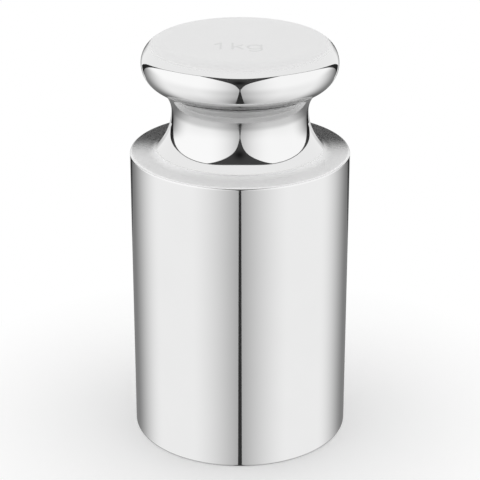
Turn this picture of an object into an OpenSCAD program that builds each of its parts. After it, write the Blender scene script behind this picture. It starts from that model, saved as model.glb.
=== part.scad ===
// Knob weight of the cylindrical kind, turned from one bar of stainless steel and
// polished all over. The whole weight is one solid of revolution about the Z axis and
// stands on its flat base at z = 0. Its outline is a chain of circular arcs and straight
// lines: base edge, body, shoulder edge, shoulder, flare, waist, knob and flat top.
// Arcs that follow each other share a tangent, so the polished surface has no crease.
// All sizes are in millimetres.

/* [Body] */
// Diameter of the cylindrical body
body_d = 45.9; // [42:0.1:52]
// Height from the base up to the shoulder, turned to bring the weight to its nominal mass
body_h = 62.91; // [20:0.01:120]
// Radius of the rounded edge round the base
base_edge_r = 0.5; // [0.2:0.1:3]
// Radius of the rounded edge round the shoulder
shoulder_edge_r = 0.6; // [0.2:0.1:1.5]
// Width of the flat ring between that rounded edge and the foot of the neck
shoulder_w = 3.1; // [2:0.1:3.8]

/* [Neck] */
// Diameter at the waist, the narrowest circle of the neck
waist_d = 28.4; // [22:0.1:31]
// Height of the waist above the shoulder
waist_h = 8.7; // [7:0.1:14]
// Radius of the fillet in which the neck runs out onto the shoulder
foot_fillet_r = 2.8; // [0.5:0.1:3.4]
// Radius of the hollow above the waist, up to the underside of the knob
neck_hollow_r = 6.4; // [4:0.1:8]

/* [Knob] */
// Diameter of the knob at its widest circle
knob_d = 40.6; // [38:0.1:47]
// Height of the widest circle above the waist
knob_rise = 10.2; // [8:0.1:12]
// Radius of the rounding from the widest circle up to the flat top
knob_top_r = 4.8; // [3:0.1:8]

/* [Hidden] */
$fn = 240;

// Radii of the circles that the outline passes through
body_r = body_d / 2;
waist_r = waist_d / 2;
knob_r = knob_d / 2;

// Levels of those circles
waist_z = body_h + waist_h;
knob_z = waist_z + knob_rise;
top_z = knob_z + knob_top_r;

// Arcs that touch at a slant lap by this much, which closes the outline at the touch
lap = 0.0002;

// Foot of the neck. Its fillet touches the shoulder at foot_r, and the flare above it is
// the one arc that is upright at the waist and touches the fillet.
foot_r = body_r - shoulder_edge_r - shoulder_w;
foot_reach = foot_r - waist_r;
foot_drop = waist_h - foot_fillet_r;
flare_r = rounded((foot_reach ^ 2 + foot_drop ^ 2 - foot_fillet_r ^ 2)
    / (2 * (foot_reach - foot_fillet_r))) - lap;

// Underside of the knob: the one arc that touches the neck's hollow and is upright at
// the widest circle
overhang = knob_r - waist_r;
knob_under_r = rounded((overhang ^ 2 + knob_rise ^ 2) / (2 * overhang)) - neck_hollow_r + lap;

// Centres of the arcs, as [radius, height]
base_edge_c = [body_r - base_edge_r, base_edge_r];
shoulder_edge_c = [body_r - shoulder_edge_r, body_h - shoulder_edge_r];
foot_c = [foot_r, body_h + foot_fillet_r];
flare_c = [waist_r + flare_r, waist_z];
hollow_c = [waist_r + neck_hollow_r, waist_z];
under_c = [knob_r - knob_under_r, knob_z];
knob_top_c = [knob_r - knob_top_r, knob_z];

function rounded(v) = round(v * 10000) / 10000;
function unit(v) = v / norm(v);

module disc(c, r) {
    translate(c) circle(r);
}

// The half of a disc above or below its own centre
module half_disc(c, r, side) {
    intersection() {
        disc(c, r);
        translate(c + [-2 * r, side > 0 ? 0 : -2 * r]) square([4 * r, 2 * r]);
    }
}

// Half of the section through the axis. The straight-sided core runs from centre to
// centre of the arcs; discs round its edges, and discs hollow out its neck.
module half_section() {
    difference() {
        union() {
            polygon([
                [0, 0], [base_edge_c.x, 0], [body_r, base_edge_c.y],
                [body_r, shoulder_edge_c.y], [shoulder_edge_c.x, body_h],
                [foot_r, body_h], foot_c, hollow_c, under_c, knob_top_c,
                [knob_top_c.x, top_z], [0, top_z]
            ]);
            disc(base_edge_c, base_edge_r);
            disc(shoulder_edge_c, shoulder_edge_r);
            half_disc(under_c, knob_under_r, -1);
            half_disc(knob_top_c, knob_top_r, 1);
        }
        disc(foot_c, foot_fillet_r);
        flare_hollow();
        half_disc(hollow_c, neck_hollow_r, 1);
    }
}

// The wedge of the flare's disc from the level of the waist down to the fillet
module flare_hollow() {
    intersection() {
        disc(flare_c, flare_r);
        polygon([
            flare_c,
            flare_c - [2 * flare_r, 0],
            flare_c + 2 * flare_r * unit(foot_c - flare_c)
        ]);
    }
}

// The weight: body, neck and knob in one piece
module weight() {
    color([0.80, 0.80, 0.81])
        rotate_extrude() half_section();
}

weight();
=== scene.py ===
"""Dresses the knob weight: its polished surface, its steel, and a small light tent.

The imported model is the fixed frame. The weight is one turned piece, so one smooth surface
of revolution stands for the CAD node. All lengths are metres, +Z runs up along the axis
and z = 0 is the surface that the weight stands on.
"""

import logging
import math
from dataclasses import dataclass, field
from enum import Enum

import bpy
import numpy as np
from mathutils import Matrix, Vector


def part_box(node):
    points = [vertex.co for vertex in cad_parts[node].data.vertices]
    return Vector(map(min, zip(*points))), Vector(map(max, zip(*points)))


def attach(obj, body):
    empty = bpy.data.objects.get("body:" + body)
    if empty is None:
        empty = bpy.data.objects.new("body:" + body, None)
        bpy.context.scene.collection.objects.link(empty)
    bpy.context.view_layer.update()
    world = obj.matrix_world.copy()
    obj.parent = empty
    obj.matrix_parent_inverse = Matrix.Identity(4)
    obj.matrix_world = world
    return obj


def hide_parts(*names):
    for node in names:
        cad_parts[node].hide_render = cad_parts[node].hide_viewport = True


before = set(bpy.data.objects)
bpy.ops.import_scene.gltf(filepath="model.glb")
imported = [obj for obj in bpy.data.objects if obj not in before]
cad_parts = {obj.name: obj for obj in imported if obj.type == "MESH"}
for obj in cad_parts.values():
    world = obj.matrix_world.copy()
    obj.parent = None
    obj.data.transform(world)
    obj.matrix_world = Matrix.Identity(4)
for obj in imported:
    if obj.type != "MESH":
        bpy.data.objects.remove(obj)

LOG = logging.getLogger("knob_weight")
MM = 0.001
UP = np.array([0.0, 0.0, 1.0])
WHITE = (1.0, 1.0, 1.0, 1.0)
NODE = "weight"

Array = np.ndarray
Socket = bpy.types.NodeSocket
Pair = tuple[float, float]
Grid = tuple[int, int]


# ---------------------------------------------------------------- grids and meshes


def mesh_from_grid(
    name: str, points: Array, closed_u: bool = False, smooth: bool = True
) -> bpy.types.Object:
    """Makes a mesh from a grid of points; face (i, j) joins i, i + 1 and j, j + 1.

    Args:
        name: the object's name.
        points: array of shape (rows, columns, 3), in metres.
        closed_u: joins the last column to the first one.
        smooth: shades the faces smooth.

    Returns:
        The new object, linked to the scene.
    """
    rows, columns = points.shape[:2]
    i = np.arange(rows - 1)[:, None]
    j = np.arange(columns if closed_u else columns - 1)[None, :]
    k = (j + 1) % columns
    quads = np.stack(
        np.broadcast_arrays(i * columns + j, i * columns + k,
                            (i + 1) * columns + k, (i + 1) * columns + j), -1
    ).reshape(-1, 4)
    return mesh_from_arrays(name, points.reshape(-1, 3), [quads], smooth)


def mesh_from_arrays(
    name: str, points: Array, faces: list[Array], smooth: bool = True
) -> bpy.types.Object:
    """Puts vertices and faces into a new mesh object with foreach_set.

    Args:
        name: the object's name.
        points: array of shape (count, 3), in metres.
        faces: one array of shape (faces, corners) for each number of corners.
        smooth: shades the faces smooth.

    Returns:
        The new object, linked to the scene.
    """
    corners = np.concatenate([f.reshape(-1) for f in faces]).astype(np.int32)
    sizes = np.concatenate([np.full(len(f), f.shape[1]) for f in faces])
    starts = np.concatenate([[0], np.cumsum(sizes)[:-1]]).astype(np.int32)
    mesh = bpy.data.meshes.new(name)
    mesh.vertices.add(len(points))
    mesh.vertices.foreach_set("co", points.astype(np.float32).ravel())
    mesh.loops.add(len(corners))
    mesh.loops.foreach_set("vertex_index", corners)
    mesh.polygons.add(len(sizes))
    mesh.polygons.foreach_set("loop_start", starts)
    mesh.polygons.foreach_set("use_smooth", np.full(len(sizes), smooth))
    mesh.update(calc_edges=True)
    mesh.validate()
    thing = bpy.data.objects.new(name, mesh)
    bpy.context.scene.collection.objects.link(thing)
    return thing


def add_point_values(thing: bpy.types.Object, name: str, values: Array) -> None:
    """Stores one number for each vertex, which a material reads by its name."""
    layer = thing.data.attributes.new(name, "FLOAT", "POINT")
    layer.data.foreach_set("value", values.astype(np.float32).ravel())


def rows_of(*grids: Array) -> Array:
    """Returns the points of several grids as the rows of one array, in order."""
    return np.vstack([grid.reshape(-1, 3) for grid in grids])


def smoothstep(low: float, high: float, x: Array) -> Array:
    """Runs from 0 at low to 1 at high with level ends: 3 t^2 - 2 t^3."""
    t = np.clip((x - low) / (high - low), 0.0, 1.0)
    return t * t * (3.0 - 2.0 * t)


def swell(rise: Pair, fall: Pair, x: Array) -> Array:
    """Runs from 0 to 1 along rise and back to 0 along fall, by smoothstep."""
    return smoothstep(*rise, x) * smoothstep(fall[1], fall[0], x)


# ---------------------------------------------------------------- node trees


class Nodes:
    """A short way to write a shader's nodes and links."""

    def __init__(self, tree: bpy.types.NodeTree) -> None:
        """Empties the tree and keeps it."""
        self.tree = tree
        tree.nodes.clear()

    def add(self, kind: str, links: dict[str | int, object] | None = None,
            **settings: object) -> bpy.types.Node:
        """Adds one node.

        Args:
            kind: the node's type.
            links: socket name or number to a value, or to the socket it comes from.
            **settings: the node's own properties.

        Returns:
            The new node.
        """
        node = self.tree.nodes.new(kind)
        for key, value in settings.items():
            setattr(node, key, value)
        for key, value in (links or {}).items():
            if isinstance(value, bpy.types.NodeSocket):
                self.tree.links.new(value, node.inputs[key])
            else:
                node.inputs[key].default_value = value
        return node

    def math(self, operation: str, *values: float | Socket) -> Socket:
        """Returns the result of one Math node on numbers or sockets."""
        node = self.add("ShaderNodeMath", dict(enumerate(values)), operation=operation)
        return node.outputs[0]

    def swing(self, value: Socket, amount: float, middle: float) -> Socket:
        """Returns middle + amount * (value - 0.5), for a value from 0 to 1."""
        return self.math("MULTIPLY_ADD", value, amount, middle - 0.5 * amount)

    def vector(self, operation: str, links: dict[str | int, object]) -> Socket:
        """Returns the vector that one Vector Math node gives."""
        return self.add("ShaderNodeVectorMath", links, operation=operation).outputs[0]

    def point_value(self, name: str) -> Socket:
        """Returns the number that the mesh stores for each vertex under a name."""
        return self.add("ShaderNodeAttribute", attribute_name=name).outputs["Fac"]

    def place(self) -> Socket:
        """Returns the object's own coordinates."""
        return self.add("ShaderNodeTexCoord").outputs["Object"]


def new_material(name: str) -> tuple[bpy.types.Material, Nodes]:
    """Makes an empty node material.

    Args:
        name: the material's name.

    Returns:
        The material, and the helper that fills its tree.
    """
    material = bpy.data.materials.new(name)
    material.use_nodes = True
    return material, Nodes(material.node_tree)


# ---------------------------------------------------------------- the weight


class Bend(Enum):
    """Which side of an arc the steel is on; the value is the sign of its outward normal."""

    ROUND = 1.0
    HOLLOW = -1.0


@dataclass(frozen=True)
class Stretch:
    """A stretch of the outline: its points (radius, height) and their outward normals."""

    points: Array
    normals: Array


def arc(centre: Pair, radius: float, start: float, end: float,
        steps: int, bend: Bend = Bend.ROUND) -> Stretch:
    """An arc of the outline: centre + radius * (cos a, sin a), a in degrees.

    Args:
        centre: (radius, height) of the arc's centre.
        radius: the arc's radius.
        start: first angle, from the outward level direction.
        end: last angle.
        steps: number of points.
        bend: round or hollow steel.

    Returns:
        The stretch.
    """
    a = np.radians(np.linspace(start, end, steps))
    ray = np.stack([np.cos(a), np.sin(a)], -1)
    return Stretch(np.array(centre) + radius * ray, bend.value * ray)


def line(start: Pair, end: Pair, normal: Pair, steps: int) -> Stretch:
    """A straight stretch: start + t * (end - start), t from 0 to 1.

    Args:
        start: first (radius, height).
        end: last (radius, height).
        normal: the outward normal.
        steps: number of points.

    Returns:
        The stretch.
    """
    t = np.linspace(0.0, 1.0, steps)[:, None]
    points = np.array(start) * (1 - t) + np.array(end) * t
    return Stretch(points, np.tile(normal, (steps, 1)))


def angle_of(centre: Pair, point: Pair) -> float:
    """Returns the angle of the ray from a centre to a point, in degrees."""
    return math.degrees(math.atan2(point[1] - centre[1], point[0] - centre[0]))


@dataclass
class TurnedOutline:
    """Half of the section: arcs and lines from the middle of the base to the flat top.

    body_r and height come from the frame; the other sizes are those of the CAD node. The rises and
    falls are heights above the waist: the hollow is the neck above it, and under is the last slope
    of the knob's underside. Both get painted shade, and the hollow also gets the streaks.
    """

    body_r: float
    height: float
    base_edge_r: float = 0.5 * MM
    shoulder_edge_r: float = 0.6 * MM
    shoulder_w: float = 3.1 * MM
    waist_r: float = 14.2 * MM
    waist_h: float = 8.7 * MM
    foot_fillet_r: float = 2.8 * MM
    neck_hollow_r: float = 6.4 * MM
    knob_r: float = 20.3 * MM
    knob_rise: float = 10.2 * MM
    knob_top_r: float = 4.8 * MM
    hollow_rise: Pair = (-0.3 * MM, 0.8 * MM)
    hollow_fall: Pair = (5.0 * MM, 6.2 * MM)
    under_rise: Pair = (5.4 * MM, 5.9 * MM)
    under_fall: Pair = (6.5 * MM, 7.7 * MM)

    @property
    def knob_z(self) -> float:
        """Height at which the knob is widest."""
        return self.height - self.knob_top_r

    @property
    def waist_z(self) -> float:
        """Height at which the neck is narrowest."""
        return self.knob_z - self.knob_rise

    @property
    def foot_r(self) -> float:
        """Radius at which the neck's foot meets the shoulder."""
        return self.body_r - self.shoulder_edge_r - self.shoulder_w

    def in_hollow(self, z: Array) -> Array:
        """Returns 1 in the neck's hollow and 0 away from it, by height; it places the streaks and
        the hollow's painted shade.
        """
        return self._above_waist(self.hollow_rise, self.hollow_fall, z)

    def painted_shade_mask_under_knob(self, z: Array) -> Array:
        """Returns 1 on the last slope under the knob and 0 away from it, by height; it places the
        painted shade there.
        """
        return self._above_waist(self.under_rise, self.under_fall, z)

    def _above_waist(self, rise: Pair, fall: Pair, z: Array) -> Array:
        """Swells from 0 to 1 and back between heights that are measured from the waist."""
        return swell(tuple(np.add(rise, self.waist_z)), tuple(np.add(fall, self.waist_z)), z)

    def stretches(self) -> list[Stretch]:
        """Returns the outline's stretches in order; each starts where the last one ends."""
        return self._body() + self._neck_and_knob()

    def _body(self) -> list[Stretch]:
        """The base, the side and the shoulder, and the two small round edges between them.

        Returns:
            The stretches from the middle of the base to the neck's foot.
        """
        side_r, body_h = self.body_r, self.waist_z - self.waist_h
        edge_in, edge_up = side_r - self.base_edge_r, self.base_edge_r
        rim_in, rim_up = side_r - self.shoulder_edge_r, body_h - self.shoulder_edge_r
        return [
            line((0, 0), (edge_in, 0), normal=(0, -1), steps=6),
            arc((edge_in, edge_up), self.base_edge_r, -90, 0, steps=9),
            line((side_r, edge_up), (side_r, rim_up), normal=(1, 0), steps=12),
            arc((rim_in, rim_up), self.shoulder_edge_r, 0, 90, steps=11),
            line((rim_in, body_h), (self.foot_r, body_h), normal=(0, 1), steps=4),
        ]

    def _neck_and_knob(self) -> list[Stretch]:
        """Five arcs, each of which runs on into the next without a corner.

        The flare's radius is the one at which it touches the foot's fillet and stands
        upright at the waist. The underside's is the one at which it touches the hollow and
        stands upright where the knob is widest.

        Returns:
            The stretches from the neck's foot to the flat top.
        """
        fillet, hollow = self.foot_fillet_r, self.neck_hollow_r
        reach, drop = self.foot_r - self.waist_r, self.waist_h - fillet
        flare = (reach**2 + drop**2 - fillet**2) / (2 * (reach - fillet))
        overhang = self.knob_r - self.waist_r
        under = (overhang**2 + self.knob_rise**2) / (2 * overhang) - hollow
        foot_c = (self.foot_r, self.waist_z - self.waist_h + fillet)
        flare_c = (self.waist_r + flare, self.waist_z)
        hollow_c = (self.waist_r + hollow, self.waist_z)
        under_c = (self.knob_r - under, self.knob_z)
        top_c = (self.knob_r - self.knob_top_r, self.knob_z)
        touch_low = angle_of(flare_c, foot_c)
        touch_high = angle_of(hollow_c, under_c)
        return [
            arc(foot_c, fillet, -90, touch_low, steps=14, bend=Bend.HOLLOW),
            arc(flare_c, flare, touch_low, -180, steps=26, bend=Bend.HOLLOW),
            arc(hollow_c, hollow, 180, touch_high, steps=22, bend=Bend.HOLLOW),
            arc(under_c, under, touch_high - 180, 0, steps=26),
            arc(top_c, self.knob_top_r, 0, 90, steps=34),
        ]


@dataclass(frozen=True)
class WeightMark:
    """The nominal value, 1 kg, cut faintly into the flat top as round-bottomed strokes.

    The patch is a grid, half_width to each side and from low to high along Y. The glyphs
    stand on a baseline at y = base. Their own points are shares of the height cap,
    measured from (x, base), where x is the glyph's place. The g's round part is a circle
    of radius bowl, and its tail is part of a flatter ring about (x, tail_y).
    """

    columns: int = 131
    rows: int = 63
    half_width: float = 7.0 * MM
    low: float = -9.2 * MM
    high: float = -2.4 * MM
    base: float = -7.2 * MM
    cap: float = 4.2 * MM
    half_stroke: float = 0.36 * MM
    floor_share: float = 0.25
    depth: float = 0.055 * MM
    one_x: float = -3.9 * MM
    kay_x: float = -1.5 * MM
    gee_x: float = 2.9 * MM
    bowl: float = 0.33
    bowl_points: int = 33
    tail_y: float = -0.08
    tail_drop: float = 0.27
    tail_end: float = -140.0
    tail_points: int = 15
    stem_top: float = 0.67

    def strokes(self) -> Array:
        """The glyphs as straight pieces: 1, the k's three strokes, and the g's two.

        Returns:
            The pieces, of shape (count, start or end, x or y).
        """
        paths = [
            self._placed(self.one_x, [(-0.26, 0.78), (0.0, 1.0), (0.0, 0.0)]),
            self._placed(self.kay_x, [(0.0, 0.0), (0.0, 1.0)]),
            self._placed(self.kay_x, [(0.46, 0.68), (0.0, 0.26)]),
            self._placed(self.kay_x, [(0.18, 0.42), (0.48, 0.0)]),
            self._placed(self.gee_x, self._bowl()),
            self._placed(self.gee_x, self._tail()),
        ]
        return np.concatenate([np.stack([p[:-1], p[1:]], 1) for p in paths])

    def _placed(self, x: float, shares: Array | list[Pair]) -> Array:
        """Returns a glyph's points: (x, base) + cap * shares."""
        return np.array([x, self.base]) + self.cap * np.array(shares)

    def _bowl(self) -> Array:
        """Returns the g's circle, which stands on the baseline: bowl * (cos a, 1 + sin a)."""
        a = np.radians(np.linspace(0, 360, self.bowl_points))
        return self.bowl * np.stack([np.cos(a), 1.0 + np.sin(a)], -1)

    def _tail(self) -> Array:
        """The g's stem, down its right side, and its tail along the flatter ring.

        Returns:
            The stem's top, and (bowl cos a, tail_y + tail_drop sin a) from 0 to tail_end.
        """
        a = np.radians(np.linspace(0, self.tail_end, self.tail_points))
        ring = np.stack([self.bowl * np.cos(a), self.tail_y + self.tail_drop * np.sin(a)], -1)
        return np.vstack([[(self.bowl, self.stem_top)], ring])

    def patch(self, height: float) -> tuple[Array, Array]:
        """The top's surface round the mark: height - depth * smoothstep(distance).

        The distance is that to the nearest stroke's middle line. The cut is full up to
        floor_share * half_stroke from it and ends at half_stroke. The normals come from
        the slopes.

        Args:
            height: the flat top's height.

        Returns:
            The grid's points and normals, of shape (rows, columns, 3).
        """
        x = np.linspace(-self.half_width, self.half_width, self.columns)
        y = np.linspace(self.low, self.high, self.rows)
        here = np.stack(np.meshgrid(x, y), -1)[:, :, None, :]
        lines = self.strokes()
        start, run = lines[:, 0], lines[:, 1] - lines[:, 0]
        t = np.clip(((here - start) * run).sum(-1) / (run**2).sum(-1), 0.0, 1.0)
        distance = np.linalg.norm(here - start - t[..., None] * run, axis=-1).min(-1)
        full_cut = self.floor_share * self.half_stroke
        sunk = self.depth * smoothstep(self.half_stroke, full_cut, distance)
        slope_y, slope_x = np.gradient(-sunk, y, x)
        normals = np.stack([-slope_x, -slope_y, np.ones_like(sunk)], -1)
        normals /= np.linalg.norm(normals, axis=-1, keepdims=True)
        points = np.concatenate([here[:, :, 0], (height - sunk)[..., None]], -1)
        return points, normals

    def sunk_share(self, z: Array) -> Array:
        """Returns how far each height lies down the strokes, from 0 to 1."""
        return (z.max() - z) / self.depth

    def edge(self) -> Array:
        """The patch's edge, counter-clockwise from the middle of its right side.

        Returns:
            The numbers of the edge's points in the grid.
        """
        grid = np.arange(self.rows * self.columns).reshape(self.rows, self.columns)
        mid = self.rows // 2
        return np.concatenate([grid[mid:-1, -1], grid[-1, :0:-1], grid[:0:-1, 0],
                               grid[0, :-1], grid[:mid, -1]])


@dataclass(frozen=True)
class FinishAndPaintedLight:
    """Where the steel is satin, and the light and shade painted into its colour: numbers for each
    vertex.

    A lean is the angle of the outward normal above the level, in degrees. The steel turns
    from mirror to satin along satin_lean, and the base, which leans by less than base_lean,
    is satin. The body loses the share sheen of its satin towards the back, along back_y.
    Its shoulder grows lighter along lift_lean, at the front only: this is painted light, where it
    would reflect the neck and the knob's shaded underside. Painted shade darkens the neck's hollow
    and the last slope under the knob, in place of the dark reflections there, and the floor of the
    mark's strokes is darker by depth.
    """

    base_lean: float = -80.0
    satin_lean: Pair = (41.0, 60.0)
    lift_lean: Pair = (48.0, 58.0)
    back_y: Pair = (-8.0 * MM, 7.5 * MM)
    sheen: float = 0.82
    painted_shoulder_light: float = 0.19
    painted_hollow_shade: float = 0.30
    painted_under_knob_shade: float = 0.70
    mark_shade: float = 0.13

    def satin(self, outline: TurnedOutline, points: Array, lean: Array) -> Array:
        """The satin: smoothstep(lean) * (1 - sheen * smoothstep(y)) on the body.

        Args:
            outline: the section that the points lie on.
            points: the vertices, of shape (count, 3).
            lean: each vertex's lean.

        Returns:
            A number from 0, mirror, to 1, satin, for each vertex.
        """
        satin = np.where(lean < self.base_lean, 1.0, smoothstep(*self.satin_lean, lean))
        on_body = points[:, 2] < outline.waist_z
        return satin * (1.0 - self.sheen * on_body * smoothstep(*self.back_y, points[:, 1]))

    def tone(self, outline: TurnedOutline, points: Array, lean: Array) -> Array:
        """The shoulder's painted light less the painted shade of the hollow and of the knob's
        underside.

        Args:
            outline: the section that the points lie on.
            points: the vertices, of shape (count, 3).
            lean: each vertex's lean.

        Returns:
            The painted light and shade that is added to the steel's colour at each vertex.
        """
        z = points[:, 2]
        in_front = 1.0 - smoothstep(*self.back_y, points[:, 1])
        # Painted light: the shoulder's front is made lighter in colour, where it would reflect the
        # neck and the knob's shaded underside.
        painted_light_mask = (z < outline.waist_z) * in_front * smoothstep(*self.lift_lean, lean)
        # Painted shade: the neck's hollow and the last slope under the knob are darker in colour,
        # in place of the dark reflections there.
        shade = self.painted_hollow_shade * outline.in_hollow(z) + self.painted_under_knob_shade * outline.painted_shade_mask_under_knob(z)
        return self.painted_shoulder_light * painted_light_mask - shade


@dataclass
class KnobWeight:
    """The whole weight: body, neck and knob as one closed surface of revolution.

    The flat top is closed by a fine patch that holds the mark. The patch's edge has as
    many points as a ring has. The vertices are the rings, outward and up from the base,
    then the patch, then the pole in the middle of the base.
    """

    outline: TurnedOutline
    mark: WeightMark = field(default_factory=WeightMark)
    finish_and_painted_light: FinishAndPaintedLight = field(default_factory=FinishAndPaintedLight)
    around: int = 384
    plate_r: float = 12.6 * MM
    plate_rings: int = 5

    def build(self) -> bpy.types.Object:
        """Turns the outline round the axis: (r cos u, r sin u, z) for each (r, z).

        The base is closed by one pole vertex, and the top by rings that pass into the
        mark's patch.

        Returns:
            The object, with its exact normals, and each vertex's finish and the light and shade
            painted into its colour.
        """
        points, normals = self._section()
        u = np.linspace(0.0, 2.0 * np.pi, self.around, endpoint=False)
        turn = np.stack([np.cos(u), np.sin(u)], -1)
        sides = self._turned(points[1:], turn)
        patch, patch_facing = self.mark.patch(self.outline.height)
        plate = self._plate_rings(u, points[-1, 0], patch)
        pole = np.array([0.0, 0.0, points[0, 1]])
        vertices = rows_of(sides, plate, patch, pole)
        facing = rows_of(self._turned(normals[1:], turn), np.zeros_like(plate) + UP,
                         patch_facing, -UP)
        rings = len(sides) + len(plate)
        thing = mesh_from_arrays("knob_weight", vertices, self._faces(rings))
        thing.data.normals_split_custom_set_from_vertices(facing.astype(np.float32))
        self._add_finish_and_painted_light(thing, vertices, facing, slice(rings * self.around, -1))
        add_point_values(thing, "run", self._runs(points, vertices) / MM)
        return thing

    def _section(self) -> tuple[Array, Array]:
        """Joins the outline's stretches and leaves out the points that they share.

        Returns:
            The section's points (r, z) and their normals, from the pole to the flat top.
        """
        parts = self.outline.stretches()
        points = [parts[0].points] + [p.points[1:] for p in parts[1:]]
        normals = [parts[0].normals] + [p.normals[1:] for p in parts[1:]]
        return np.concatenate(points), np.concatenate(normals)

    def _add_finish_and_painted_light(self, thing: bpy.types.Object, vertices: Array, facing: Array,
                    patch: slice) -> None:
        """Stores each vertex's satin and streak, and the light and shade painted into its colour.

        Args:
            thing: the weight.
            vertices: its vertices.
            facing: their normals.
            patch: which vertices are the mark's patch. It is satin, and in place of painted light
                and shade its colour is darker down the mark's strokes, by depth.
        """
        z = vertices[:, 2]
        lean = np.degrees(np.arcsin(np.clip(facing[:, 2], -1, 1)))
        satin = self.finish_and_painted_light.satin(self.outline, vertices, lean)
        satin[patch] = 1.0
        tone = self.finish_and_painted_light.tone(self.outline, vertices, lean)
        # The mark's patch has no painted light or shade: its colour is only darker down the
        # strokes, by depth.
        tone[patch] = -self.finish_and_painted_light.mark_shade * self.mark.sunk_share(z[patch])
        add_point_values(thing, "satin", satin)
        add_point_values(thing, "streak", self.outline.in_hollow(z))
        add_point_values(thing, "tone", tone)

    def _runs(self, points: Array, vertices: Array) -> Array:
        """Distance along the section from the pole; on the flat top it grows inward.

        Args:
            points: the section's points.
            vertices: the weight's vertices.

        Returns:
            The distance for each vertex, in metres.
        """
        run = np.cumsum(np.hypot(*np.diff(points, axis=0).T))
        on_top = vertices[len(run) * self.around:-1, :2]
        top_run = run[-1] + points[-1, 0] - np.hypot(*on_top.T)
        return np.concatenate([np.repeat(run, self.around), top_run, [0.0]])

    def _turned(self, section: Array, turn: Array) -> Array:
        """Turns (r, z) pairs about the axis into a grid of (r cos u, r sin u, z).

        Args:
            section: the pairs, of shape (count, 2).
            turn: (cos u, sin u) of each step round the axis.

        Returns:
            The grid, of shape (count, steps, 3).
        """
        grid = np.empty((len(section), len(turn), 3))
        grid[..., :2] = section[:, 0][:, None, None] * turn[None]
        grid[..., 2] = section[:, 1][:, None]
        return grid

    def _plate_rings(self, u: Array, top_r: float, patch: Array) -> Array:
        """Flat rings from the edge of the top to plate_r, which turn to face the patch.

        A ring's angles pass evenly from the equal steps u to those of the points where
        the lines from the patch's middle through its edge meet the circle plate_r.

        Args:
            u: the angles of the turned rings.
            top_r: the flat top's radius.
            patch: the mark's patch.

        Returns:
            The rings, outermost first.
        """
        middle = np.array([0.0, 0.5 * (self.mark.low + self.mark.high)])
        ray = patch.reshape(-1, 3)[self.mark.edge(), :2] - middle
        ray /= np.linalg.norm(ray, axis=1, keepdims=True)
        along = ray @ middle
        reach = -along + np.sqrt(along**2 - middle @ middle + self.plate_r**2)
        meet = middle + reach[:, None] * ray
        last = u + np.angle(np.exp(1j * (np.arctan2(meet[:, 1], meet[:, 0]) - u)))
        t = np.linspace(0.0, 1.0, self.plate_rings + 1)[1:, None]
        angle = (1 - t) * u + t * last
        radius = (1 - t) * top_r + t * self.plate_r
        height = np.full_like(angle, self.outline.height)
        return np.stack([radius * np.cos(angle), radius * np.sin(angle), height], -1)

    def _faces(self, rings: int) -> list[Array]:
        """Returns the quads between rings and in the patch, and the base's triangles.

        Args:
            rings: number of rings.

        Returns:
            The quads and the triangles, all facing outward.
        """
        i = np.arange(rings - 1)[:, None] * self.around
        j = np.arange(self.around)[None, :]
        k = (j + 1) % self.around
        next_ring = i + self.around
        quads = np.stack([i + j, i + k, next_ring + k, next_ring + j], -1).reshape(-1, 4)
        j, k = j.ravel(), k.ravel()
        first = rings * self.around
        edge = first + self.mark.edge()
        last = first - self.around
        band = np.stack([last + j, last + k, edge[k], edge[j]], -1)
        columns = self.mark.columns
        row = first + np.arange(self.mark.rows - 1)[:, None] * columns
        col = row + np.arange(columns - 1)[None, :]
        patch = np.stack([col, col + 1, col + columns + 1, col + columns], -1).reshape(-1, 4)
        pole = first + self.mark.rows * columns
        base = np.stack([k, j, np.full_like(j, pole)], -1)
        return [np.vstack([quads, band, patch]), base]


# ---------------------------------------------------------------- the steel


@dataclass(frozen=True)
class TurnedLines:
    """Fine lines that run round the axis, as a cutter or a cloth leaves them.

    fine is the number of lines for each millimetre of the outline, and broken says how
    often a line changes on its way round.
    """

    fine: float
    broken: float
    detail: float = 3.0
    falloff: float = 0.6

    def level(self, nodes: Nodes) -> Socket:
        """The lines: noise of (broken cos u, broken sin u, fine * run), u the turn.

        Args:
            nodes: the material's nodes.

        Returns:
            The lines' socket, from 0 to 1.
        """
        flat = nodes.vector("MULTIPLY", {0: nodes.place(), 1: (1.0, 1.0, 0.0)})
        turn = nodes.vector("NORMALIZE", {0: flat})
        turn = nodes.vector("SCALE", {0: turn, 3: self.broken})
        along = nodes.math("MULTIPLY", nodes.point_value("run"), self.fine)
        along = nodes.add("ShaderNodeCombineXYZ", {"Z": along}).outputs[0]
        spot = nodes.vector("ADD", {0: turn, 1: along})
        noise = nodes.add("ShaderNodeTexNoise", {"Vector": spot, "Scale": 1.0,
                                                 "Detail": self.detail,
                                                 "Roughness": self.falloff})
        return noise.outputs["Fac"]


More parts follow.
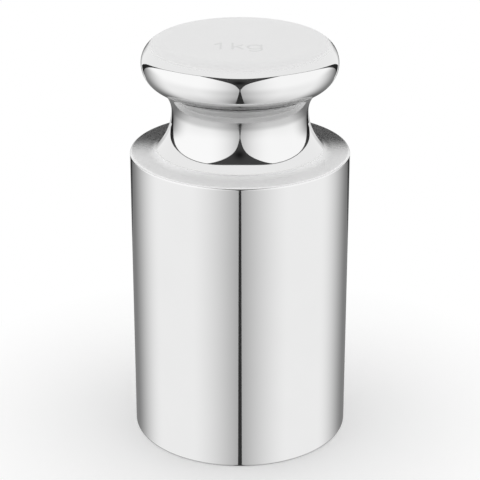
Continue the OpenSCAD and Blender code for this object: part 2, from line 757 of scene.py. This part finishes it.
@dataclass(frozen=True)
class PolishedSteel:
    """Stainless steel: a mirror on the round faces, satin on the flats, streaks in the neck.

    A cloudy noise and the satin's hairs vary its shade and roughness by the amounts here, about
    the plain values. haze is the share of the satin that isn't metal. Its colour also takes the
    light and shade painted for each vertex of the piece.
    """

    tint: tuple[float, float, float] = (0.80, 0.80, 0.80)
    mirror_rough: float = 0.035
    satin_rough: float = 0.50
    haze: float = 0.80
    streaks: TurnedLines = TurnedLines(fine=9.0, broken=0.9)
    streak_depth: float = 0.004 * MM
    streak_rough: float = 0.05
    hairs: TurnedLines = TurnedLines(fine=40.0, broken=2.5)
    hair_shade: float = 0.02
    hair_rough: float = 0.10
    cloud_scale: float = 110.0
    cloud_detail: float = 3.0
    cloud_shade: float = 0.03
    cloud_rough: float = 0.03

    def material(self) -> bpy.types.Material:
        """Makes the steel, which reads the piece's satin, streak and run values, and the light and
        shade painted into its colour, with the mark's darkening.

        Returns:
            The material.
        """
        material, nodes = new_material("polished_steel")
        satin = nodes.point_value("satin")
        streak = nodes.point_value("streak")
        hairs = self.hairs.level(nodes)
        cloud = nodes.add("ShaderNodeTexNoise", {"Vector": nodes.place(),
                                                 "Scale": self.cloud_scale,
                                                 "Detail": self.cloud_detail}).outputs["Fac"]
        steel = nodes.add("ShaderNodeBsdfPrincipled", {
            "Base Color": self._colour(nodes, satin, hairs, cloud),
            "Metallic": nodes.math("MULTIPLY_ADD", satin, -self.haze, 1.0),
            "Roughness": self._roughness(nodes, satin, streak, hairs, cloud),
            "Normal": self._streaked_normal(nodes, streak)})
        nodes.add("ShaderNodeOutputMaterial", {"Surface": steel.outputs["BSDF"]})
        return material

    def _colour(self, nodes: Nodes, satin: Socket, hairs: Socket, cloud: Socket) -> Socket:
        """The tint * (1 + cloud + hairs in the satin + the piece's painted light and shade, which
        on the mark is its darkening by depth).

        Args:
            nodes: the material's nodes.
            satin: the piece's satin.
            hairs: the satin's hairs.
            cloud: the cloudy noise.

        Returns:
            The colour's socket.
        """
        shade = nodes.swing(cloud, self.cloud_shade, 1.0)
        satin_hairs = nodes.math("MULTIPLY", hairs, satin)
        shade = nodes.math("MULTIPLY_ADD", satin_hairs, self.hair_shade, shade)
        # Painted light and shade: the shoulder's front made lighter, the hollow and the knob's
        # underside made darker, and the mark darker by depth.
        shade = nodes.math("ADD", shade, nodes.point_value("tone"))
        return nodes.vector("MULTIPLY", {0: self.tint, 1: shade})

    def _roughness(self, nodes: Nodes, satin: Socket, streak: Socket, hairs: Socket,
                   cloud: Socket) -> Socket:
        """The mirror's roughness, which passes into the satin's.

        Args:
            nodes: the material's nodes.
            satin: the piece's satin.
            streak: the piece's streaks.
            hairs: the satin's hairs.
            cloud: the cloudy noise.

        Returns:
            The roughness's socket.
        """
        mirror = nodes.swing(cloud, self.cloud_rough, self.mirror_rough)
        mirror = nodes.math("MULTIPLY_ADD", streak, self.streak_rough, mirror)
        brushed = nodes.swing(hairs, self.hair_rough, self.satin_rough)
        return nodes.add("ShaderNodeMix", {0: satin, 2: mirror, 3: brushed}).outputs[0]

    def _streaked_normal(self, nodes: Nodes, streak: Socket) -> Socket:
        """The normal, bent by the streaks where the piece has them.

        Args:
            nodes: the material's nodes.
            streak: the piece's streaks.

        Returns:
            The normal's socket.
        """
        height = nodes.math("MULTIPLY", self.streaks.level(nodes), streak)
        bump = nodes.add("ShaderNodeBump", {"Strength": 1.0, "Distance": self.streak_depth,
                                            "Height": height})
        return bump.outputs["Normal"]


# ---------------------------------------------------------------- the studio


def direction(azimuth: Array, elevation: Array) -> Array:
    """Unit vectors by compass: azimuth 0 is the front (-Y), 90 the right (+X), in degrees."""
    a, e = np.radians(azimuth), np.radians(elevation)
    return np.stack([np.cos(e) * np.sin(a), -np.cos(e) * np.cos(a), np.sin(e)], -1)


@dataclass(frozen=True)
class Fade:
    """A dimming that grows from 0 to amount along side and along rise, both in degrees."""

    amount: float
    side: Pair
    rise: Pair

    def left(self, side: Array, elevation: Array) -> Array:
        """Returns the light left: 1 - amount * smoothstep(side) * smoothstep(elevation)."""
        grown = smoothstep(*self.side, side) * smoothstep(*self.rise, elevation)
        return 1.0 - self.amount * grown


@dataclass(frozen=True)
class Spot:
    """A soft spot of the tent; its centre and spread are (across, elevation) in degrees."""

    amount: float
    centre: Pair
    spread: Pair

    def depth(self, across: Array, elevation: Array) -> Array:
        """The spot: amount * exp(-x^2 - y^2), x and y from the centre in spreads.

        Args:
            across: azimuth or side of each point.
            elevation: elevation of each point.

        Returns:
            The spot's value at each point.
        """
        x = (across - self.centre[0]) / self.spread[0]
        y = (elevation - self.centre[1]) / self.spread[1]
        return self.amount * np.exp(-(x**2) - y**2)


@dataclass(frozen=True)
class Curtains:
    """The glow of the tent's walls. A side is an azimuth without its sign, in degrees.

    Down low_rise a wall passes from its high values to its low ones, and the pairs named
    slit hold both. It dims towards the slit, down foot_rise, a little on the right, along
    the low back and in a spot at each back corner.
    """

    white: float = 1.18
    low_rise: Pair = (2.0, -26.0)
    low_dim: float = 0.15
    foot_rise: Pair = (-32.0, -82.0)
    foot_dim: float = 0.40
    slit_reach: float = 52.0
    slit_dims: Pair = (0.60, 0.56)
    slit_powers: Pair = (2.2, 1.5)
    right_turn: Pair = (-20.0, 20.0)
    right_dim: float = 0.03
    back: Fade = Fade(0.77, side=(92.0, 152.0), rise=(6.0, -10.0))
    corner: Spot = Spot(0.85, centre=(156.0, -13.0), spread=(13.0, 6.0))

    def glow(self, azimuth: Array, elevation: Array) -> Array:
        """The walls' glow: white less low, foot and slit, times right, back and corner.

        The slit's part is dim * near^power, with near from 0 at slit_reach to 1 in front.

        Args:
            azimuth: azimuth of each point.
            elevation: elevation of each point.

        Returns:
            The brightness of each point.
        """
        side = np.abs(azimuth)
        low = smoothstep(*self.low_rise, elevation)
        near = np.clip(1.0 - side / self.slit_reach, 0.0, 1.0)
        high_slit, low_slit = (dim * near**power
                               for dim, power in zip(self.slit_dims, self.slit_powers))
        glow = self.white - self.low_dim * low
        glow -= self.foot_dim * smoothstep(*self.foot_rise, elevation)
        glow -= high_slit * (1.0 - low) + low_slit * low
        glow *= 1.0 - self.right_dim * smoothstep(*self.right_turn, azimuth) * (1.0 - low)
        return glow * self.back.left(side, elevation) * (1.0 - self.corner.depth(side, elevation))


@dataclass(frozen=True)
class Hoop:
    """The bent hoop round the roof: a dark band, broader and darker at the back corners.

    front, side and back are its elevations at azimuths 0, 90 and 180, in degrees.
    """

    front: float = 45.0
    side: float = 27.0
    back: float = -24.0
    width: float = 1.2
    glow: float = 0.12
    broad_rise: Pair = (98.0, 140.0)
    broad_fall: Pair = (154.0, 172.0)
    broad_width: float = 5.5
    broad_dim: float = 0.10

    def elevation(self, azimuth: Array) -> Array:
        """The hoop's middle line: a + b cos(azimuth) + c cos(2 azimuth).

        Args:
            azimuth: azimuth of each point, in degrees.

        Returns:
            The elevation at each azimuth, through the hoop's three heights.
        """
        c = (self.front + self.back - 2.0 * self.side) / 4.0
        b = (self.front - self.back) / 2.0
        turn = np.radians(azimuth)
        return self.side + c + b * np.cos(turn) + c * np.cos(2.0 * turn)

    def broad(self, azimuth: Array) -> Array:
        """Returns 1 where the hoop is broad, and 0 where it is thin."""
        return swell(self.broad_rise, self.broad_fall, np.abs(azimuth))


@dataclass(frozen=True)
class DarkCard:
    """A small dark card upright behind the weight, with soft edges, in metres."""

    y: float = 0.050
    half: float = 0.045
    low: float = 0.054
    high: float = 0.088
    side_fade: float = 0.020
    end_fade: float = 0.008
    edge_glow: float = 0.85
    dark: float = 0.82
    steps: int = 41

    def surface(self) -> tuple[Array, Array]:
        """The card: (x, y, z) over its two sides, with glow edge_glow - dark * shade.

        Returns:
            The grid's points, and the brightness of each.
        """
        x, z = np.meshgrid(np.linspace(-self.half, self.half, self.steps),
                           np.linspace(self.low, self.high, self.steps))
        shade = smoothstep(self.half, self.half - self.side_fade, np.abs(x))
        shade *= smoothstep(self.high, self.high - self.end_fade, z)
        shade *= smoothstep(self.low, self.low + self.end_fade, z)
        points = np.stack([x, np.full_like(x, self.y), z], -1)
        return points, self.edge_glow - self.dark * shade


@dataclass
class LightTent:
    """A white tent: a roof inside a bent hoop, and two front curtains that don't quite meet.

    Each part but the card is a patch of a ball round the weight, whose centre is at the
    height middle. A share is that of the patch's radius in the tent's. All angles are in
    degrees, and a half is that to each side of the front. The slit is slit_half at its
    top and at most slit_most. Each grid is (columns, rows). A part glows by its own
    brightness, and it is seen in the steel but not by the camera.
    """

    radius: float = 1.6
    middle: float = 0.06
    curtains: Curtains = Curtains()
    roof: Fade = Fade(0.6, side=(150.0, 175.0), rise=(10.0, -8.0))
    roof_edge: Pair = (-1.5, 1.5)
    shell_grid: Grid = (289, 145)
    hoop: Hoop = Hoop()
    hoop_share: float = 0.97
    hoop_grid: Grid = (361, 3)
    gap_share: float = 0.98
    gap_low: float = -6.0
    gap_half: float = 58.0
    gap_even: float = 0.17
    gap_power: int = 4
    gap_glow: float = 0.060
    gap_core: Spot = Spot(0.048, centre=(-1.0, 26.0), spread=(9.0, 9.0))
    gap_grid: Grid = (61, 81)
    slit_half: float = 0.6
    slit_spread: float = 3.4
    slit_most: float = 40.0
    slit_foot: float = -86.0
    slit_glow: float = 0.035
    slit_grid: Grid = (9, 81)
    card: DarkCard = DarkCard()
    parts: list[bpy.types.Object] = field(default_factory=list)

    def build(self) -> None:
        """Builds the shell, the gap and slit between the curtains, the hoop and the card."""
        self._shell()
        self._gap()
        self._slit()
        self._hoop()
        self._hang("dark_card", *self.card.surface())

    def _add(self, name: str, azimuth: Array, elevation: Array, glow: Array,
             share: float = 1.0) -> None:
        """Adds a patch of the ball: middle + radius * share * direction(azimuth, elevation).

        Args:
            name: the object's name.
            azimuth: azimuth of each grid point.
            elevation: elevation of each grid point.
            glow: brightness of each grid point.
            share: share of the tent's radius.
        """
        points = direction(azimuth, elevation) * self.radius * share
        points[..., 2] += self.middle
        self._hang(name, points, glow)

    def _hang(self, name: str, points: Array, glow: Array) -> None:
        """Makes a grid a glowing part of the stage, seen in the steel but not by the camera.

        Args:
            name: the object's name.
            points: the grid's points.
            glow: brightness of each grid point.
        """
        patch = mesh_from_grid(name, points)
        add_point_values(patch, "glow", glow)
        patch.data.materials.append(tent_cloth())
        patch.visible_camera = False
        patch.visible_shadow = False
        self.parts.append(patch)

    def _shell(self) -> None:
        """The whole ball: curtains below the hoop, and inside it a roof that dims behind."""
        columns, rows = self.shell_grid
        azimuth, elevation = np.meshgrid(np.linspace(-180, 180, columns),
                                         np.linspace(-90, 90, rows))
        curtain = self.curtains.glow(azimuth, elevation)
        roof = self.roof.left(np.abs(azimuth), elevation)
        inside = smoothstep(*self.roof_edge, elevation - self.hoop.elevation(azimuth))
        self._add("tent_shell", azimuth, elevation, curtain * (1.0 - inside) + roof * inside)

    def _gap(self) -> None:
        """The dark gap at the top front, which spreads from the slit up to the hoop.

        Its half width runs as even * t + (1 - even) * t^power, with t from 0 to 1.
        """
        columns, rows = self.gap_grid
        across, t = np.meshgrid(np.linspace(-1, 1, columns), np.linspace(0, 1, rows))
        grown = self.gap_even * t + (1.0 - self.gap_even) * t**self.gap_power
        azimuth = (self.slit_half + (self.gap_half - self.slit_half) * grown) * across
        elevation = self.gap_low + (self.hoop.elevation(azimuth) - self.gap_low) * t
        glow = self.gap_glow - self.gap_core.depth(azimuth, elevation)
        self._add("tent_gap", azimuth, elevation, glow, self.gap_share)

    def _slit(self) -> None:
        """The dark slit below the gap, which widens as spread * tan(depression)."""
        columns, rows = self.slit_grid
        across, elevation = np.meshgrid(np.linspace(-1, 1, columns),
                                        np.linspace(self.slit_foot, self.gap_low, rows))
        half = self.slit_spread * np.tan(np.radians(-elevation))
        azimuth = np.clip(half, self.slit_half, self.slit_most) * across
        glow = np.full(azimuth.shape, self.slit_glow)
        self._add("tent_slit", azimuth, elevation, glow, self.gap_share)

    def _hoop(self) -> None:
        """The hoop's band, all the way round: its width lies across its middle line."""
        columns, rows = self.hoop_grid
        azimuth, across = np.meshgrid(np.linspace(-180, 180, columns),
                                      np.linspace(-0.5, 0.5, rows))
        broad = self.hoop.broad(azimuth)
        width = self.hoop.width + self.hoop.broad_width * broad
        elevation = self.hoop.elevation(azimuth) + across * width
        glow = self.hoop.glow - self.hoop.broad_dim * broad
        self._add("tent_hoop", azimuth, elevation, glow, self.hoop_share)


def tent_cloth() -> bpy.types.Material:
    """Cloth that glows by its vertex's brightness, and isn't sampled as a lamp.

    Returns:
        The material, which is made once for all parts of the tent.
    """
    known = bpy.data.materials.get("tent_cloth")
    if known:
        return known
    material, nodes = new_material("tent_cloth")
    light = nodes.add("ShaderNodeEmission", {"Color": WHITE,
                                             "Strength": nodes.point_value("glow")})
    nodes.add("ShaderNodeOutputMaterial", {"Surface": light.outputs[0]})
    material.cycles.emission_sampling = "NONE"
    return material


@dataclass(frozen=True)
class PaleFloor:
    """A round white floor that keeps the weight's shadow and runs out into the background.

    It is lit up to the distance clear from the axis and glows as white beyond fade. Its
    smallest ring leaves a pinhole under the weight.
    """

    rings: tuple[float, ...] = (0.0005, 0.05, 0.2, 0.6, 3.0)
    around: int = 96
    pale: float = 0.97
    clear: float = 0.024
    fade: float = 0.075

    def build(self) -> None:
        """A disc of rings: (r cos u, r sin u, 0) for each r."""
        u = np.linspace(0.0, 2.0 * np.pi, self.around, endpoint=False)
        r = np.array(self.rings)[:, None]
        points = np.stack([r * np.cos(u), r * np.sin(u), np.zeros_like(r * u)], -1)
        floor = mesh_from_grid("pale_floor", points, closed_u=True, smooth=False)
        floor.data.materials.append(self._material())
        floor.visible_glossy = False

    def _material(self) -> bpy.types.Material:
        """White that is lit near the weight and glows at strength 1 further out.

        Returns:
            The material.
        """
        material, nodes = new_material("pale_floor")
        distance = nodes.add("ShaderNodeVectorMath", {0: nodes.place()},
                             operation="LENGTH").outputs["Value"]
        far = nodes.add("ShaderNodeMapRange", {"Value": distance, "From Min": self.clear,
                                               "From Max": self.fade}).outputs[0]
        colour = (self.pale, self.pale, self.pale, 1.0)
        lit = nodes.add("ShaderNodeBsdfDiffuse", {"Color": colour})
        glow = nodes.add("ShaderNodeEmission", {"Color": WHITE, "Strength": 1.0})
        mix = nodes.add("ShaderNodeMixShader", {0: far, 1: lit.outputs[0], 2: glow.outputs[0]})
        nodes.add("ShaderNodeOutputMaterial", {"Surface": mix.outputs[0]})
        return material


def white_world() -> None:
    """Makes a white world of strength 1, the same for every kind of ray."""
    world = bpy.data.worlds.new("white_room")
    world.use_nodes = True
    nodes = Nodes(world.node_tree)
    light = nodes.add("ShaderNodeBackground", {"Color": WHITE, "Strength": 1.0})
    nodes.add("ShaderNodeOutputWorld", {"Surface": light.outputs[0]})
    bpy.context.scene.world = world


@dataclass(frozen=True)
class Camera:
    """The camera, straight in front and above.

    back and height are in body radii, and pitch_down is in degrees. focal_px is the focal
    length for a square picture of picture_px. The last two are its range, in metres.
    """

    back: float = 15.0
    height: float = 8.198
    pitch_down: float = 22.98
    focal_px: float = 1753.0
    picture_px: float = 480.0
    sensor_mm: float = 36.0
    nearest: float = 0.01
    farthest: float = 20.0

    def build(self, body_r: float) -> None:
        """Makes the camera for a square picture and sets it as the scene's.

        Args:
            body_r: the weight's radius, in metres.
        """
        data = bpy.data.cameras.new("front_camera")
        data.sensor_width = self.sensor_mm
        data.lens = self.focal_px / self.picture_px * self.sensor_mm
        data.clip_start = self.nearest
        data.clip_end = self.farthest
        thing = bpy.data.objects.new("front_camera", data)
        bpy.context.scene.collection.objects.link(thing)
        turn = Matrix.Rotation(math.radians(90.0 - self.pitch_down), 4, "X")
        place = Matrix.Translation((0.0, -self.back * body_r, self.height * body_r))
        thing.matrix_world = place @ turn
        bpy.context.scene.camera = thing


# ---------------------------------------------------------------- all together


def main() -> None:
    """Builds the weight, its steel and the studio, in that order."""
    logging.basicConfig(level=logging.INFO, format="%(name)s: %(message)s")
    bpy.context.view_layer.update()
    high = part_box(NODE)[1]
    outline = TurnedOutline(body_r=high.y, height=high.z)
    weight = KnobWeight(outline).build()
    weight.data.materials.append(PolishedSteel().material())
    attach(weight, "root")
    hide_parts(NODE)
    LOG.info("weight: %d faces, %.1f mm high", len(weight.data.polygons), high.z / MM)
    tent = LightTent()
    tent.build()
    LOG.info("light tent: %d parts", len(tent.parts))
    PaleFloor().build()
    white_world()
    Camera().build(outline.body_r)
    LOG.info("floor, background and camera are set")
    bpy.context.scene.view_settings.view_transform = "Standard"


if __name__ == "__main__":
    main()
